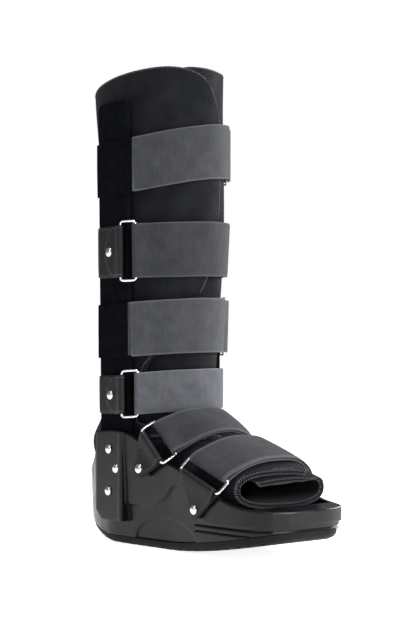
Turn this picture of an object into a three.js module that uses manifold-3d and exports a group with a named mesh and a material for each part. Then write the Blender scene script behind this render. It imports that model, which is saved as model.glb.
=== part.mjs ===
// Ankle immobilizer boot: a tall fixed walker with a rigid rocker shell, two uprights riveted into it,
// a padded wrap liner with an open toe, and six hook-and-loop straps that fold back through wire rings.
// Millimetres, +Z up, toe towards -Y. The origin is on the tread, on the floor under the ankle.
// Straps 2, 4, 5 and 6 have their rings on the -X side, straps 1 and 3 on the +X side.
import * as THREE from "three";
import { mergeVertices } from "three/addons/utils/BufferGeometryUtils.js";
import Module from "manifold-3d";

const wasm = await Module();
wasm.setup();

const clearance = 0.3; // gap that seated pieces keep
const { lerp, smoothstep } = THREE.MathUtils;
const rad = THREE.MathUtils.degToRad;

// Rigid shell and tread
const soleLength = 285;
const soleWidth = 108;
const heelBack = 80; // Y of the heel's back
const bedHeight = 40; // top of the foot bed above the floor
const toeLipDepth = 24; // how far the toe platform reaches back from the tip
const shellWall = 2.6; // plain parts of the wall
const socketTop = 104; // top of the upright sockets
const reliefStep = 2; // side wings and toe bumper stand proud by this
const socketReach = 58.8; // flat outer face of a socket, from the middle plane
const ridgeStep = 2.2;
const ridgeWidth = 5;
const reliefDepth = 1.4; // toe grooves and side arches are cut in by this
const toeGroove = 1.6; // width of the two grooves under the toe bumper
const slotWidth = 3.6; // upright slot in front of each ridge's foot
const slotDepth = 2.2;
const treadThickness = 8;
const grooveDepth = 2;
const grooveWidth = 3.5;
const groovePitch = 13;
const toeSpring = 18.5; // lift of the tread at the toe
const heelSpring = 15;
const flatFront = -70; // the tread is flat between these
const flatBack = 13;

// Uprights
const uprightWidth = 44;
const uprightThickness = 4;
const uprightFoot = 41; // lower end, inside the socket
const uprightDrop = 30; // the upright ends this far below the liner's top
const uprightCorner = 7;
const uprightGap = 49.6; // inner face from the middle plane at the lower end
const uprightLean = 0.01084; // outward lean per millimetre of height

// Liner
const linerThickness = 6;
const lapGap = 0.5; // between the lapped layers
const seamHeight = 134; // seam between shaft and foot, above the floor
const shaftTop = 440; // highest point of the front flap
const shaftDepth = 124; // front to back at mid height
const footWidth = 93;

// Straps, rings, tabs and rivets
const strapThickness = 2;
const wideStrap = 50;
const narrowStrap = 38;
const wireRadius = 1.5;
const ringSpan = 14; // between the two long bars
const ringSide = 2.2; // the ring is longer than its strap is wide by this at each end
const tabThickness = 1.6;
const rivetHead = 5;
const rivetRise = 2.4;
const rivetShank = 1.8;

// Plan outline of the sole, from the heel's back round one side to the toe's tip:
// along is a share of soleLength, half a share of half the width.
const outlineRows = [
  { along: 0, half: 0 },
  { along: 0.011, half: 0.286 },
  { along: 0.035, half: 0.518 },
  { along: 0.07, half: 0.679 },
  { along: 0.112, half: 0.795 },
  { along: 0.161, half: 0.893 },
  { along: 0.228, half: 0.982 },
  { along: 0.281, half: 1 },
  { along: 0.42, half: 0.964 },
  { along: 0.56, half: 0.938 },
  { along: 0.737, half: 0.964 },
  { along: 0.86, half: 0.938 },
  { along: 0.93, half: 0.885 },
  { along: 0.967, half: 0.8 },
  { along: 0.988, half: 0.64 },
  { along: 0.997, half: 0.38 },
  { along: 1, half: 0 },
];
const outlineSteps = 52;

// Rim of the shell in side view: along as above, up a share of the way from the bed to socketTop.
const rimRows = [
  { along: -0.03, up: 0.375 },
  { along: 0.06, up: 0.4 },
  { along: 0.115, up: 0.53 },
  { along: 0.16, up: 0.76 },
  { along: 0.185, up: 0.97 },
  { along: 0.21, up: 1 },
  { along: 0.358, up: 1 },
  { along: 0.526, up: 0.656 },
  { along: 0.635, up: 0.5 },
  { along: 0.81, up: 0.19 },
  { along: 0.9, up: 0.095 },
  { along: 1.03, up: 0.0625 },
];

// Lower edge of the raised side wing, from the socket's ridge to the toe, in the same shares.
const wingRows = [
  { along: 0.344, up: -0.02 },
  { along: 0.449, up: -0.025 },
  { along: 0.502, up: 0.03 },
  { along: 0.54, up: 0.13 },
  { along: 0.572, up: 0.29 },
  { along: 0.596, up: 0.325 },
  { along: 0.622, up: 0.29 },
  { along: 0.645, up: 0.12 },
  { along: 0.684, up: -0.06 },
  { along: 0.744, up: -0.16 },
  { along: 0.88, up: -0.155 },
  { along: 1.03, up: -0.11 },
];

// Grooves round the toe, under the bumper: up in the same shares.
const toeGrooveRows = [{ up: -0.19 }, { up: -0.27 }];
const toeGrooveBack = -112; // Y at which they run out

// Shallow arch low on each side: its middle and half length as shares of soleLength, foot and top as above.
const sideArch = { along: 0.533, half: 0.152, footUp: -0.5, topUp: -0.17 };

// Liner shaft, a row for each height: up as a share of the way from the seam to the top, width and depth as
// shares of the room between the uprights and of shaftDepth, back a share of depth, lap the end of the
// outer flap in degrees from the front towards +X.
const shaftRows = [
  { up: 0, width: 0.99, depth: 0.92, back: 0.01, lap: -66 },
  { up: 0.1, width: 0.99, depth: 0.915, back: 0.0, lap: -60 },
  { up: 0.2, width: 0.99, depth: 0.935, back: -0.012, lap: -34 },
  { up: 0.32, width: 0.995, depth: 0.98, back: -0.0265, lap: -2 },
  { up: 0.43, width: 0.995, depth: 1.01, back: -0.038, lap: 13 },
  { up: 0.55, width: 0.995, depth: 1.045, back: -0.044, lap: 19 },
  { up: 0.7, width: 0.995, depth: 1.105, back: -0.018, lap: 21 },
  { up: 0.85, width: 0.995, depth: 1.16, back: 0.014, lap: 21 },
  { up: 0.93, width: 1.0, depth: 1.19, back: 0.026, lap: 20 },
  { up: 1, width: 1.0, depth: 1.195, back: 0.028, lap: 18 },
];

// Liner foot, a row for each section: the section runs from its upper point to its lower point in the middle
// plane, along a share of soleLength ahead of the ankle, up a share of the way from the bed to the seam.
// Half is a share of footWidth, and square the power of the section's rounded outline.
const footRows = [
  { topAlong: 0.1965, topUp: 0.9936, lowAlong: -0.2045, lowUp: 0.9936, half: 0.535, square: 2.0 },
  { topAlong: 0.205, topUp: 0.9187, lowAlong: -0.225, lowUp: 0.7862, half: 0.53, square: 2.0 },
  { topAlong: 0.2145, topUp: 0.8731, lowAlong: -0.29, lowUp: 0.6009, half: 0.525, square: 2.05 },
  { topAlong: 0.245, topUp: 0.8318, lowAlong: -0.297, lowUp: 0.444, half: 0.515, square: 2.15 },
  { topAlong: 0.281, topUp: 0.7862, lowAlong: -0.262, lowUp: 0.273, half: 0.505, square: 2.2 },
  { topAlong: 0.316, topUp: 0.7391, lowAlong: -0.215, lowUp: 0.08766, half: 0.495, square: 2.3 },
  { topAlong: 0.354, topUp: 0.6864, lowAlong: -0.1, lowUp: 0.01211, half: 0.49, square: 2.4 },
  { topAlong: 0.396, topUp: 0.6322, lowAlong: 0.08, lowUp: 0.01211, half: 0.49, square: 2.45 },
  { topAlong: 0.439, topUp: 0.5852, lowAlong: 0.22, lowUp: 0.01211, half: 0.495, square: 2.5 },
  { topAlong: 0.481, topUp: 0.5367, lowAlong: 0.345, lowUp: 0.01211, half: 0.5, square: 2.5 },
  { topAlong: 0.523, topUp: 0.484, lowAlong: 0.45, lowUp: 0.01211, half: 0.5, square: 2.5 },
  { topAlong: 0.558, topUp: 0.4326, lowAlong: 0.53, lowUp: 0.01211, half: 0.5, square: 2.5 },
  { topAlong: 0.586, topUp: 0.3941, lowAlong: 0.588, lowUp: 0.01923, half: 0.495, square: 2.5 },
];

// Leg straps from the top down: ring is the side of the ring, up a share of the way from the seam to the top,
// tilt the slope towards +X, rise the slope towards the front, end how far past the far upright's front edge
// the folded end reaches back, a share of the strap's width.
const legStraps = [
  { number: 1, ring: 1, up: 0.7239, tilt: 0.141, rise: 0.081, width: wideStrap, end: 0.12 },
  { number: 2, ring: -1, up: 0.4526, tilt: 0.03, rise: 0, width: wideStrap, end: 0.28 },
  { number: 3, ring: 1, up: 0.2124, tilt: 0.03, rise: 0.06, width: wideStrap, end: 0.06 },
  { number: 4, ring: -1, up: 0.0196, tilt: 0.03, rise: 0.06, width: narrowStrap, end: 0.37 },
];
const ringAhead = 17; // held bar of a leg ring, ahead of the upright's middle
const legRivet = 1; // rivet of a leg tab, behind the upright's middle
const tabTail = 8; // the folded-back end of a tab reaches past its rivet by this

// Foot straps: the held bar's middle on the shell's side, along as a share of soleLength ahead of the ankle
// and up as a share of socketTop, and the forward slope of the bar in degrees.
const footStraps = [
  { number: 5, along: 0.212, up: 0.88, lean: 42, width: narrowStrap },
  { number: 6, along: 0.442, up: 0.615, lean: 20, width: wideStrap },
];
const footRivet = 23; // rivet of a foot tab below its bar
const footRivetAhead = 3;

// Socket rivets in side view, the same on both sides: behind the ridge's inner edge, up in shares as above.
const socketRivets = [
  { behind: 16.5, up: 0.75 },
  { behind: 5.6, up: 0.477 },
  { behind: 17.3, up: 0.141 },
];

const colours = { shell: 0x2b2c2f, tread: 0x1d1e20, liner: 0x1c1d20, strap: 0x4b4c50, loop: 0x15161a };
const finishes = {
  shell: new THREE.MeshStandardMaterial({ color: colours.shell, roughness: 0.45, metalness: 0 }),
  tread: new THREE.MeshStandardMaterial({ color: colours.tread, roughness: 0.75, metalness: 0 }),
  liner: new THREE.MeshStandardMaterial({ color: colours.liner, roughness: 0.9, metalness: 0 }),
  strap: new THREE.MeshStandardMaterial({ color: colours.strap, roughness: 0.85, metalness: 0 }),
  upright: new THREE.MeshStandardMaterial({ color: colours.loop, roughness: 0.95, metalness: 0 }),
  tab: new THREE.MeshStandardMaterial({ color: colours.liner, roughness: 0.6, metalness: 0 }),
  steel: new THREE.MeshStandardMaterial({ color: 0xc8cacd, roughness: 0.2, metalness: 1 }),
};

// Solids and meshes
function indexed(points, triangles) {
  const geometry = new THREE.BufferGeometry();
  const numbers = points.flatMap((p) => [p.x, p.y, p.z]);
  geometry.setAttribute("position", new THREE.Float32BufferAttribute(numbers, 3));
  geometry.setIndex(triangles);
  return geometry;
}

function toManifold(geometry) {
  const bare = new THREE.BufferGeometry();
  bare.setAttribute("position", geometry.getAttribute("position"));
  if (geometry.index) bare.setIndex(geometry.index);
  const merged = mergeVertices(bare, 1e-4);
  const solid = new wasm.Manifold(
    new wasm.Mesh({
      numProp: 3,
      vertProperties: new Float32Array(merged.attributes.position.array),
      triVerts: new Uint32Array(merged.index.array),
    }),
  );
  return solid;
}

function fromManifold(solid) {
  const mesh = solid.getMesh();
  const geometry = new THREE.BufferGeometry();
  geometry.setAttribute("position", new THREE.BufferAttribute(new Float32Array(mesh.vertProperties), 3));
  geometry.setIndex(new THREE.BufferAttribute(new Uint32Array(mesh.triVerts), 1));
  return geometry;
}

function facingOut(geometry) {
  const p = geometry.getAttribute("position");
  const t = geometry.index.array;
  const [a, b, c] = [new THREE.Vector3(), new THREE.Vector3(), new THREE.Vector3()];
  let volume = 0;
  for (let i = 0; i < t.length; i += 3) {
    a.fromBufferAttribute(p, t[i]);
    b.fromBufferAttribute(p, t[i + 1]);
    c.fromBufferAttribute(p, t[i + 2]);
    volume += a.dot(b.cross(c));
  }
  if (volume < 0) for (let i = 0; i < t.length; i += 3) [t[i], t[i + 1]] = [t[i + 1], t[i]];
  return geometry;
}

// A closed sheet between two grids of points of the same size, such as the two faces of a strap.
function slab(front, back) {
  const rows = front.length;
  const columns = front[0].length;
  const points = [...front.flat(), ...back.flat()];
  const at = (side, i, j) => side * rows * columns + i * columns + j;
  const triangles = [];
  const quad = (a, b, c, d) => triangles.push(a, b, c, a, c, d);
  for (let i = 0; i + 1 < rows; i++) {
    for (let j = 0; j + 1 < columns; j++) {
      quad(at(0, i, j), at(0, i, j + 1), at(0, i + 1, j + 1), at(0, i + 1, j));
      quad(at(1, i, j), at(1, i + 1, j), at(1, i + 1, j + 1), at(1, i, j + 1));
    }
    quad(at(0, i, 0), at(0, i + 1, 0), at(1, i + 1, 0), at(1, i, 0));
    quad(at(0, i, columns - 1), at(1, i, columns - 1), at(1, i + 1, columns - 1), at(0, i + 1, columns - 1));
  }
  for (let j = 0; j + 1 < columns; j++) {
    quad(at(0, 0, j), at(1, 0, j), at(1, 0, j + 1), at(0, 0, j + 1));
    quad(at(0, rows - 1, j), at(0, rows - 1, j + 1), at(1, rows - 1, j + 1), at(1, rows - 1, j));
  }
  return facingOut(indexed(points, triangles));
}

// A solid through closed loops of points. The caps run in strips from one side of a loop to the other,
// so that they still lie flat across when the solid is bent along its length.
function loft(loops) {
  const count = loops[0].length;
  const points = loops.flat();
  const triangles = [];
  for (let i = 0; i + 1 < loops.length; i++) {
    for (let j = 0; j < count; j++) {
      const k = (j + 1) % count;
      const [a, b] = [i * count + j, i * count + k];
      triangles.push(a, b, b + count, a, b + count, a + count);
    }
  }
  for (const [first, turn] of [[0, true], [(loops.length - 1) * count, false]]) {
    const cap = (...face) => triangles.push(...(turn ? face.reverse() : face).map((j) => first + j));
    for (let j = 1; 2 * j <= count; j++) {
      const opposite = count - j;
      if (j < opposite) cap(j - 1, j, opposite);
      if (j > 1) cap(j - 1, opposite, opposite + 1);
    }
  }
  return facingOut(indexed(points, triangles));
}

const boot = new THREE.Group();
boot.name = "ankle_immobilizer_boot";
const solids = {};

function keep(name, solid, finish) {
  solids[name] = { solid, finish };
}

// Sole outline, offset outwards
const alongToY = (along) => heelBack - along * soleLength;
const upToZ = (up) => bedHeight + up * (socketTop - bedHeight);

function soleOutline(offset) {
  const side = outlineRows.map((r) => new THREE.Vector3((r.half * soleWidth) / 2, alongToY(r.along), 0));
  const other = side.slice(1, -1).reverse().map((p) => new THREE.Vector3(-p.x, p.y, 0));
  const curve = new THREE.CatmullRomCurve3([...side, ...other], true, "centripetal");
  const ring = curve.getSpacedPoints(outlineSteps).slice(0, outlineSteps);
  return ring.map((p, i) => {
    const before = ring[(i + outlineSteps - 1) % outlineSteps];
    const after = ring[(i + 1) % outlineSteps];
    const along = after.clone().sub(before).normalize();
    return new THREE.Vector2(p.x - along.y * offset, p.y + along.x * offset);
  });
}

// A body with the sole's outline, through levels of [height, offset].
function outlineBody(levels) {
  return toManifold(loft(levels.map(([z, offset]) =>
    soleOutline(offset).map((p) => new THREE.Vector3(p.x, p.y, z)))));
}

// A side-view shape in (Y, Z), as a prism from one X to another.
function sidePrism(points, fromX, toX) {
  const shape = new THREE.Shape(points.map(([y, z]) => new THREE.Vector2(y, z)));
  const prism = new THREE.ExtrudeGeometry(shape, { depth: toX - fromX, bevelEnabled: false });
  const axes = new THREE.Matrix4().makeBasis(
    new THREE.Vector3(0, 1, 0), new THREE.Vector3(0, 0, 1), new THREE.Vector3(1, 0, 0));
  prism.applyMatrix4(axes).translate(fromX, 0, 0);
  return toManifold(prism);
}

function smoothRow(rows, steps) {
  const curve = new THREE.SplineCurve(rows.map((r) => new THREE.Vector2(alongToY(r.along), upToZ(r.up))));
  return curve.getPoints(steps).map((p) => [p.x, p.y]);
}

// Height of the tread's underside above the floor.
function rocker(y) {
  const toe = alongToY(1);
  if (y < flatFront) return toeSpring * ((flatFront - y) / (flatFront - toe)) ** 1.5;
  if (y > flatBack) return heelSpring * ((y - flatBack) / (heelBack - flatBack)) ** 1.3;
  return 0;
}

function rockerLine(lift) {
  const margin = 12;
  const stops = [];
  for (let y = heelBack + margin; y > alongToY(1) - margin; y -= groovePitch) stops.push(y);
  stops.push(alongToY(1) - margin);
  return stops.map((y) => [y, rocker(y) + lift]);
}

// Outer face of the plain wall: its offset from the outline at each height.
const wallRows = [
  { z: -1, out: -5 },
  { z: treadThickness, out: -1.2 },
  { z: bedHeight * 0.6, out: 0 },
  { z: bedHeight * 1.5, out: 1.3 },
  { z: socketTop + 2, out: 2.9 },
];
const wallLevels = (extra) => wallRows.map(({ z, out }) => [z, out + extra]);

function bothSides(make) {
  return make(-1).add(make(1));
}

// A box over a side-view shape, from one distance from the middle plane to another.
const sideBlock = (side, shape, near, far) =>
  (side < 0 ? sidePrism(shape, -far, -near) : sidePrism(shape, near, far));

// What lies further out than the wall less a depth, between two side-view shapes' faces.
function skinDeeperThan(depth) {
  const core = outlineBody(wallLevels(-depth));
  return (shape) => sidePrism(shape, -soleWidth, soleWidth).subtract(core);
}

// Low relief cut into the wall: toe grooves, side arches and the slots in front of the ridges.
function wallRelief(ridgeY, socketFoot, wingFoot) {
  const skin = skinDeeperThan(reliefDepth);
  const cuts = toeGrooveRows.map(({ up }) => {
    const [low, high] = [upToZ(up) - toeGroove / 2, upToZ(up) + toeGroove / 2];
    const tip = alongToY(1.1);
    return skin([[tip, low], [toeGrooveBack, low], [toeGrooveBack - 4, high], [tip, high]]);
  });
  const { along, half, footUp, topUp } = sideArch;
  const arch = Array.from({ length: 15 }, (_, i) => {
    const angle = (i * Math.PI) / 14;
    const [y, z] = [alongToY(along - half * Math.cos(angle)), lerp(footUp, topUp, Math.sin(angle))];
    return [y, upToZ(z)];
  });
  cuts.push(skin(arch.reverse()));
  const slot = [
    [ridgeY - slotWidth, socketFoot + 1], [ridgeY - 0.2, socketFoot + 1],
    [ridgeY - 0.2, wingFoot - 1], [ridgeY - slotWidth, wingFoot - 1],
  ];
  cuts.push(skinDeeperThan(slotDepth)(slot));
  return cuts;
}

function makeShell() {
  const reach = soleWidth;
  const above = socketTop + 20;
  const rim = smoothRow(rimRows, 32);
  const wing = smoothRow(wingRows, 22);
  const ridgeY = wing[0][0];
  const proud = outlineBody(wallLevels(reliefStep));
  const wingShape = [...wing, [wing.at(-1)[0], above], [ridgeY, above]];
  const socketBack = uprightWidth / 2 + 2;
  const socketFoot = bedHeight * 0.56;
  const socketShape = [
    [ridgeY + ridgeWidth, above], [ridgeY + ridgeWidth, socketFoot], [socketBack - 8, socketFoot],
    [socketBack, socketFoot + 8], [socketBack, above],
  ];
  const ridgeShape = [
    [ridgeY, above], [ridgeY, socketFoot], [ridgeY + ridgeWidth + 0.1, socketFoot],
    [ridgeY + ridgeWidth + 0.1, above],
  ];
  let shell = outlineBody(wallLevels(0)).add(proud.intersect(sidePrism(wingShape, -reach, reach)));
  wallRelief(ridgeY, socketFoot, wing[0][1]).forEach((cut) => {
    shell = shell.subtract(cut);
  });
  shell = shell
    .add(bothSides((side) => sideBlock(side, socketShape, 30, socketReach)))
    .add(bothSides((side) => sideBlock(side, ridgeShape, 30, socketReach + ridgeStep)));

  const cavity = outlineBody([
    [bedHeight, wallRows[2].out + 0.6 - shellWall],
    [socketTop + 6, wallRows[4].out - shellWall],
  ]);
  const toeEnd = alongToY(1) + toeLipDepth;
  const cavityShape = [
    [heelBack + 30, bedHeight - 5], [heelBack + 30, above], [toeEnd, above], [toeEnd, bedHeight - 5],
  ];
  shell = shell.subtract(cavity.intersect(sidePrism(cavityShape, -reach, reach)));
  shell = shell.subtract(bothSides(uprightPocket));
  const trim = [...rockerLine(treadThickness + clearance).reverse(), ...rim];
  shell = shell.intersect(sidePrism(trim.reverse(), -reach, reach));
  keep("shell", shell, finishes.shell);
}

// Heights and offsets of the tread's edge when flat, rounded off below.
const treadRows = [
  { z: 0, out: -9 },
  { z: 1.5, out: -4.5 },
  { z: 4, out: -2.2 },
  { z: treadThickness, out: -1.4 },
];

// The tread is made flat and bent up to the rocker.
function makeTread() {
  let tread = outlineBody(treadRows.map(({ z, out }) => [z, out])).warp((v) => {
    v[2] += rocker(v[1]);
  });
  const first = Math.ceil((alongToY(1) + 4) / groovePitch - 0.5);
  const last = Math.floor((heelBack - 4) / groovePitch - 0.5);
  for (let k = first; k <= last; k++) {
    const y = (k + 0.5) * groovePitch;
    const [low, high] = [y - grooveWidth / 2, y + grooveWidth / 2];
    const cut = [
      [low, -grooveDepth], [high, -grooveDepth],
      [high, rocker(high) + grooveDepth], [low, rocker(low) + grooveDepth],
    ];
    tread = tread.subtract(sidePrism(cut, -soleWidth, soleWidth));
  }
  keep("tread", tread, finishes.tread);
}

// Uprights
const uprightInner = (z) => uprightGap + (z - uprightFoot) * uprightLean;
const uprightOuter = (z) => uprightInner(z) + uprightThickness;

// A plate that leans with the upright: a shape in (Y, Z) between two depths from the upright's inner face.
function leaningPlate(side, shape, near, far) {
  const options = { depth: far - near, bevelEnabled: false, curveSegments: 4 };
  const plate = new THREE.ExtrudeGeometry(shape, options);
  plate.translate(0, 0, near);
  const points = plate.getAttribute("position");
  for (let i = 0; i < points.count; i++) {
    const [y, z, depth] = [points.getX(i), points.getY(i), points.getZ(i)];
    points.setXYZ(i, side * (uprightInner(z) + depth), y, z);
  }
  plate.deleteAttribute("normal");
  plate.deleteAttribute("uv");
  return toManifold(facingOut(mergeVertices(plate)));
}

function uprightPocket(side) {
  const half = uprightWidth / 2 + clearance;
  const shape = new THREE.Shape([
    new THREE.Vector2(-half, bedHeight), new THREE.Vector2(half, bedHeight),
    new THREE.Vector2(half, socketTop + 10), new THREE.Vector2(-half, socketTop + 10),
  ]);
  return leaningPlate(side, shape, -8, uprightThickness + clearance);
}

function makeUpright(side, name) {
  const half = uprightWidth / 2;
  const uprightTop = shaftTop - uprightDrop;
  const r = uprightCorner;
  const shape = new THREE.Shape();
  shape.moveTo(-half, uprightFoot).lineTo(half, uprightFoot).lineTo(half, uprightTop - r);
  shape.absarc(half - r, uprightTop - r, r, 0, Math.PI / 2, false);
  shape.lineTo(-half + r, uprightTop);
  shape.absarc(-half + r, uprightTop - r, r, Math.PI / 2, Math.PI, false);
  keep(name, leaningPlate(side, shape, 0, uprightThickness), finishes.upright);
}

// Liner
const lapStep = linerThickness + lapGap;
const lapOverlap = 72; // how far the inner end of the wrap runs on under the flap, in degrees
const lapRamp = 28; // the wrap rises to its outer level over this

function rowAt(rows, up) {
  const i = Math.max(0, Math.min(rows.length - 2, rows.findIndex((r) => r.up >= up) - 1));
  const share = (up - rows[i].up) / (rows[i + 1].up - rows[i].up);
  return Object.fromEntries(Object.keys(rows[i]).map((k) => [k, lerp(rows[i][k], rows[i + 1][k], share)]));
}

// A point of the shaft's outer face, or inset from it, at an angle from the front towards +X.
function shaftPoint(up, angle, inset) {
  const row = rowAt(shaftRows, up);
  const z = lerp(seamHeight + clearance / 2, shaftTop, up);
  const a = (uprightInner(z) - clearance) * row.width - inset;
  const b = (shaftDepth * row.depth) / 2 - inset;
  return new THREE.Vector3(a * Math.sin(angle), row.back * shaftDepth - b * Math.cos(angle), z);
}

// How far the sheet lies inside the outer face: its inner end is one layer deeper, under the flap.
function lapInset(degrees, lap, sag) {
  const under = 1 - smoothstep(degrees, lap + 4, lap + 4 + lapRamp);
  return under * (lapStep + sag * (1 - smoothstep(degrees, lap - lapOverlap, lap)));
}

// Angle of a column of the wrap: the ends follow the lap, the rest stays where it is.
function wrapDegrees(share, lap) {
  const steadyLap = -20;
  const nearEnd = Math.max(0, 1 - Math.min(share, 1 - share) / 0.34);
  return lerp(steadyLap - lapOverlap, steadyLap + 360, share) + (lap - steadyLap) * nearEnd;
}

function makeShaft() {
  const columns = 38;
  const cornerColumns = 4.4; // the flap's top corner is rounded over these
  const cornerDrop = 0.13; // by this share of the height
  const rimDip = 0.06; // the rim is lower at the sides and the back
  const [outer, inner] = [[], []];
  for (const { up, lap } of shaftRows) {
    const rows = [[], []];
    for (let j = 0; j <= columns; j++) {
      const degrees = wrapDegrees(j / columns, lap);
      const inset = lapInset(degrees, lap, 0);
      const side = (1 - Math.cos(rad(degrees))) / 2;
      const fromEnd = Math.min(columns - j, j) / cornerColumns;
      const corner = fromEnd < 1 ? 1 - Math.sqrt(1 - (1 - fromEnd) ** 2) : 0;
      const height = up * (1 - up ** 2 * (rimDip * side ** 1.7 + cornerDrop * corner));
      [inset, inset + linerThickness].forEach((depth, k) => {
        rows[k].push(shaftPoint(height, rad(degrees), depth));
      });
    }
    outer.push(rows[0]);
    inner.push(rows[1]);
  }
  keep("liner_shaft", toManifold(slab(outer, inner)), finishes.liner);
}

// A point of a foot section's outer face, or inset from it, at an angle from the top towards +X.
function footPoint(row, angle, inset) {
  const top = new THREE.Vector3(0, -row.topAlong * soleLength, lerp(bedHeight, seamHeight, row.topUp));
  const low = new THREE.Vector3(0, -row.lowAlong * soleLength, lerp(bedHeight, seamHeight, row.lowUp));
  const middle = top.clone().add(low).multiplyScalar(0.5);
  const upward = top.clone().sub(low);
  const halfLength = upward.length() / 2;
  upward.normalize();
  const power = 2 / row.square;
  const [s, c] = [Math.sin(angle), Math.cos(angle)];
  const across = Math.sign(s) * Math.abs(s) ** power * (row.half * footWidth - inset);
  const lengthwise = Math.sign(c) * Math.abs(c) ** power * (halfLength - inset);
  const point = middle.clone().addScaledVector(upward, lengthwise);
  point.x = across;
  point.y -= toeSkew * across * smoothstep(row.topAlong, 0.4, 0.586);
  return point;
}

const toeSkew = 0.17; // the toe opening is cut back on the -X side
const footLap = 34; // end of the near flap over the foot, in degrees towards +X
const toeSag = 3; // the under flap hangs away from the upper one at the toes

function makeFoot() {
  const columns = 30;
  const [outer, inner] = [[], []];
  footRows.forEach((row, i) => {
    const lap = lerp(shaftRows[0].lap, footLap, smoothstep(i, 2, 8));
    const sag = toeSag * smoothstep(i, 8, 12);
    const rows = [[], []];
    for (let j = 0; j <= columns; j++) {
      const degrees = wrapDegrees(j / columns, lap);
      const inset = lapInset(degrees, lap, sag);
      [inset, inset + linerThickness].forEach((depth, k) => {
        rows[k].push(footPoint(row, rad(degrees), depth));
      });
    }
    outer.push(rows[0]);
    inner.push(rows[1]);
  });
  keep("liner_foot", toManifold(slab(outer, inner)), finishes.liner);
}

// Straps. Each lies in a frame of its own: across points over the boot away from the ring, out away from
// the leg or the foot, and along the strap's width.
class StrapFrame {
  constructor(origin, side, out) {
    this.origin = origin;
    this.across = new THREE.Vector3(side, 0, 0);
    this.out = out;
    this.along = new THREE.Vector3().crossVectors(this.across, out);
  }
  toWorld(x, u, k) {
    return this.origin.clone()
      .addScaledVector(this.across, x).addScaledVector(this.out, u).addScaledVector(this.along, k);
  }
  // Sections of some pieces across the strap's width, once lift is taken off their heights.
  slices(names, offsets, lift) {
    const { across: a, out: o, along: w } = this;
    const shift = this.origin;
    const matrix = [
      a.x, o.x, w.x, 0, a.y, o.y, w.y, 0, a.z, o.z, w.z, 0,
      -a.dot(shift), -o.dot(shift), -w.dot(shift), 1,
    ];
    const lower = (v) => {
      v[2] -= lift(v[0], v[1]);
    };
    const turned = names.map((name) => solids[name].solid.warp(lower).transform(matrix));
    return offsets.map((k) => turned.flatMap((solid) => solid.slice(k).toPolygons().flat()));
  }
}

// Convex outline over the top of a set of points, from the lowest on the -x side to the lowest on the other.
function overTop(points) {
  const sorted = [...points].sort((p, q) => p[0] - q[0] || p[1] - q[1]);
  const turn = (o, a, b) => (a[0] - o[0]) * (b[1] - o[1]) - (a[1] - o[1]) * (b[0] - o[0]);
  const half = (list) => {
    const out = [];
    for (const p of list) {
      while (out.length > 1 && turn(out.at(-2), out.at(-1), p) <= 1e-9) out.pop();
      out.push(p);
    }
    return out.slice(0, -1);
  };
  const ring = [...half(sorted), ...half([...sorted].reverse())].reverse();
  const lowest = (sign) => ring.reduce((best, p, i) =>
    (sign * p[0] - 0.2 * p[1] > sign * ring[best][0] - 0.2 * ring[best][1] ? i : best), 0);
  const [start, end] = [lowest(-1), lowest(1)];
  const turned = [...ring.slice(start), ...ring.slice(0, start)];
  const count = ((end - start + ring.length) % ring.length) + 1;
  return turned.slice(0, count).map(([x, u]) => new THREE.Vector2(x, u));
}

// A path over a convex outline. Lengths run from where the path passes u = level on the ring's side.
class Track {
  constructor(points, level) {
    this.points = points;
    this.lengths = [0];
    for (let i = 1; i < points.length; i++) {
      this.lengths.push(this.lengths[i - 1] + points[i].distanceTo(points[i - 1]));
    }
    this.total = this.lengths.at(-1);
    this.zero = 0;
    this.zero = this.crossing(level, 1);
  }
  raw(length) {
    const s = Math.max(0, Math.min(this.total, length));
    let i = this.lengths.findIndex((l) => l > s);
    if (i < 1) i = this.points.length - 1;
    const share = (s - this.lengths[i - 1]) / (this.lengths[i] - this.lengths[i - 1]);
    return this.points[i - 1].clone().lerp(this.points[i], share);
  }
  // Length at which the path passes a level, on its way up on the ring's side or down on the other.
  crossing(level, direction) {
    const p = this.points;
    const steps = p.slice(1).map((_, i) => i);
    if (direction < 0) steps.reverse();
    for (const i of steps) {
      const [from, to] = [p[i].y - level, p[i + 1].y - level];
      if (from * to <= 0 && from !== to) {
        return lerp(this.lengths[i], this.lengths[i + 1], from / (from - to)) - this.zero;
      }
    }
    return (direction < 0 ? this.total : 0) - this.zero;
  }
  at(length, depth) {
    const s = length + this.zero;
    const reach = 4;
    const along = this.raw(s + reach).sub(this.raw(s - reach)).normalize();
    const over = s - Math.max(0, Math.min(this.total, s));
    return this.raw(s)
      .addScaledVector(along, over)
      .add(new THREE.Vector2(-along.y, along.x).multiplyScalar(depth));
  }
}

const footPlay = 0.5; // foot straps lie this much looser, over the flaps' edges
const lifted = (track) => ({ at: (s, depth) => track.at(s, depth + footPlay) });

// A column's own track over the foot that runs into a shared one at both ends, where the strap lies flat
// on the shell.
class BlendTrack {
  constructor(own, shared) {
    this.own = own;
    this.shared = shared;
    this.over = own.crossing(0, -1);
    this.sharedOver = shared.crossing(0, -1);
  }
  at(length, depth) {
    const flat = 24;
    const { own, shared, over, sharedOver } = this;
    const weight = Math.min(smoothstep(length, flat, flat + 26), 1 - smoothstep(length, over - 26, over - 4));
    let s = length;
    if (length > flat) s = lerp(flat, sharedOver, Math.min(1, (length - flat) / (over - flat)));
    if (length > over) s = sharedOver + length - over;
    return shared.at(s, depth + footPlay).lerp(own.at(length, depth + footPlay), weight);
  }
}

const snug = clearance + 0.3;
const lowerDepth = snug + strapThickness / 2;
const upperDepth = lowerDepth + strapThickness + clearance;
const foldRadius = wireRadius + clearance + strapThickness / 2;
const barDepth = lowerDepth + foldRadius;
const tabLower = snug + tabThickness / 2;
const tabFold = wireRadius + clearance + tabThickness / 2;
const heldDepth = tabLower + tabFold + 0.8;

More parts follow.
